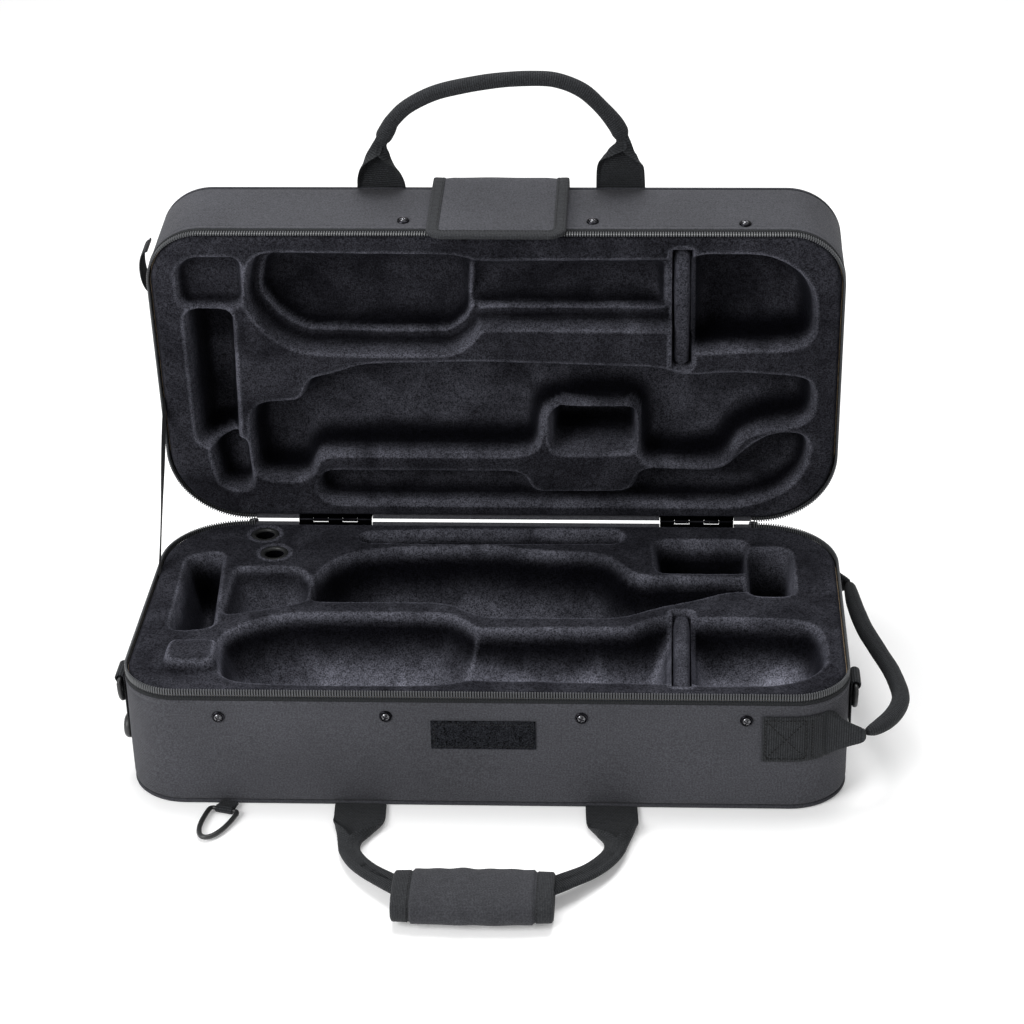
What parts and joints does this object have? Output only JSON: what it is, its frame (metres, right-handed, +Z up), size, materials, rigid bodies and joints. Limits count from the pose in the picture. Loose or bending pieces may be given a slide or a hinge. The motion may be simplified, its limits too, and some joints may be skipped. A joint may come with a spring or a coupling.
{
  "type": "trumpet case",
  "caption": "Open soft-covered instrument case with a moulded plush insert in base and lid, a zip round the rim, a closing flap, carrying handles and strap rings.",
  "frame": {"origin": "the middle of the base's underside, where the case stands on a table", "axes": "+X to the right end of the case, +Y to the hinges at the back, +Z up"},
  "size_m": [0.6215, 0.5153, 0.4821],
  "materials": {
    "nylon": "matt woven nylon",
    "plush": "short plush pile",
    "board": "raw board",
    "webbing": "ribbed webbing",
    "loop_pile": "loop pile",
    "zip_teeth": "satin",
    "black_plastic": "satin",
    "black_nickel": "polished black nickel"
  },
  "bodies": {
    "base": {"base_shell": "board", "base_side_cover": "nylon", "base_bottom_cover": "nylon", "base_piping": "webbing", "base_insert": "plush", "base_divider": "plush", "base_zip_tape": "webbing", "base_zip_teeth": "zip_teeth", "base_screw_1": "black_nickel", "base_screw_2": "black_nickel", "base_screw_3": "black_nickel", "base_screw_4": "black_nickel", "mouthpiece_ring_rear": "black_plastic", "mouthpiece_ring_front": "black_plastic", "loop_patch": "loop_pile", "hinge_left_base_leaf": "black_nickel", "hinge_left_pin": "black_nickel", "hinge_right_base_leaf": "black_nickel", "hinge_right_pin": "black_nickel", "side_handle_front_patch": "webbing", "side_handle_rear_patch": "webbing", "right_ring_tab": "webbing", "left_ring_tab": "webbing", "left_knob": "black_plastic", "bottom_ring_tab": "webbing", "stay_ribbon": "webbing"},
    "lid": {"lid_shell": "board", "lid_side_cover": "nylon", "lid_top_cover": "nylon", "lid_piping": "webbing", "lid_insert": "plush", "lid_divider": "plush", "lid_zip_tape": "webbing", "lid_zip_teeth": "zip_teeth", "lid_screw_1": "black_nickel", "lid_screw_2": "black_nickel", "lid_screw_3": "black_nickel", "hinge_left_lid_leaf": "black_nickel", "hinge_right_lid_leaf": "black_nickel", "lid_end_loop": "webbing"},
    "closing_flap": {"flap": "nylon", "flap_binding": "webbing", "hook_patch": "loop_pile"},
    "lid_carry_handle": {"lid_handle": "webbing"},
    "base_carry_handle": {"base_handle_webbing": "webbing", "base_handle_grip": "nylon"},
    "end_handle": {"side_handle_loop": "webbing"},
    "right_strap_ring": {"right_ring": "black_plastic"},
    "left_strap_ring": {"left_ring": "black_plastic"},
    "bottom_strap_ring": {"bottom_ring": "black_plastic"},
    "left_slider": {"zip_slider_left": "black_nickel"},
    "right_slider": {"zip_slider_right": "black_nickel"},
    "left_pull": {"zip_pull_left": "black_nickel"},
    "right_pull": {"zip_pull_right": "black_nickel"}
  },
  "joints": [
    {"name": "lid_hinge", "type": "hinge", "parent": "base", "child": "lid", "pos_m": [0, 0.136, 0.104], "axis": [1, 0, 0], "range_deg": [0, 84.5], "deforming": ["stay_ribbon"]},
    {"name": "flap_hinge", "type": "hinge", "parent": "lid", "child": "closing_flap", "pos_m": [0.0025, 0.19813, 0.35813], "axis": [-1, 0, 0], "range_deg": [0, 75]},
    {"name": "lid_handle_swing", "type": "hinge", "parent": "lid", "child": "lid_carry_handle", "pos_m": [0, 0.19182, 0.38293], "axis": [1, 0, 0], "range_deg": [-60, 45]},
    {"name": "base_handle_swing", "type": "hinge", "parent": "base", "child": "base_carry_handle", "pos_m": [0, -0.1363, 0.0017], "axis": [-1, 0, 0], "range_deg": [0, 75]},
    {"name": "end_handle_swing", "type": "hinge", "parent": "base", "child": "end_handle", "pos_m": [0.292, 0, 0.065], "axis": [0, -1, 0], "range_deg": [-40, 60]},
    {"name": "right_ring_swing", "type": "hinge", "parent": "base", "child": "right_strap_ring", "pos_m": [0.2846, -0.085, 0.08823], "axis": [0, -1, 0], "range_deg": [0, 150]},
    {"name": "left_ring_swing", "type": "hinge", "parent": "base", "child": "left_strap_ring", "pos_m": [-0.2846, -0.085, 0.08823], "axis": [0, 1, 0], "range_deg": [0, 150]},
    {"name": "bottom_ring_swing", "type": "hinge", "parent": "base", "child": "bottom_strap_ring", "pos_m": [-0.20104, -0.14877, 0.00338], "axis": [-0.9638, 0.2667, 0], "range_deg": [0, 60]},
    {"name": "left_slider_turn", "type": "hinge", "parent": "base", "child": "left_slider", "pos_m": [-0.214, 0.07, 0.0956], "axis": [0, 0, 1], "range_deg": [0, 90]},
    {"name": "right_slider_turn", "type": "hinge", "parent": "base", "child": "right_slider", "pos_m": [0.214, 0.07, 0.0956], "axis": [0, 0, -1], "range_deg": [0, 90]},
    {"name": "left_pull_swing", "type": "hinge", "parent": "left_slider", "child": "left_pull", "pos_m": [-0.212, 0.1421, 0.0956], "axis": [1, 0, 0], "range_deg": [0, 80]},
    {"name": "right_pull_swing", "type": "hinge", "parent": "right_slider", "child": "right_pull", "pos_m": [0.212, 0.1421, 0.0956], "axis": [1, 0, 0], "range_deg": [0, 80]}
  ]
}
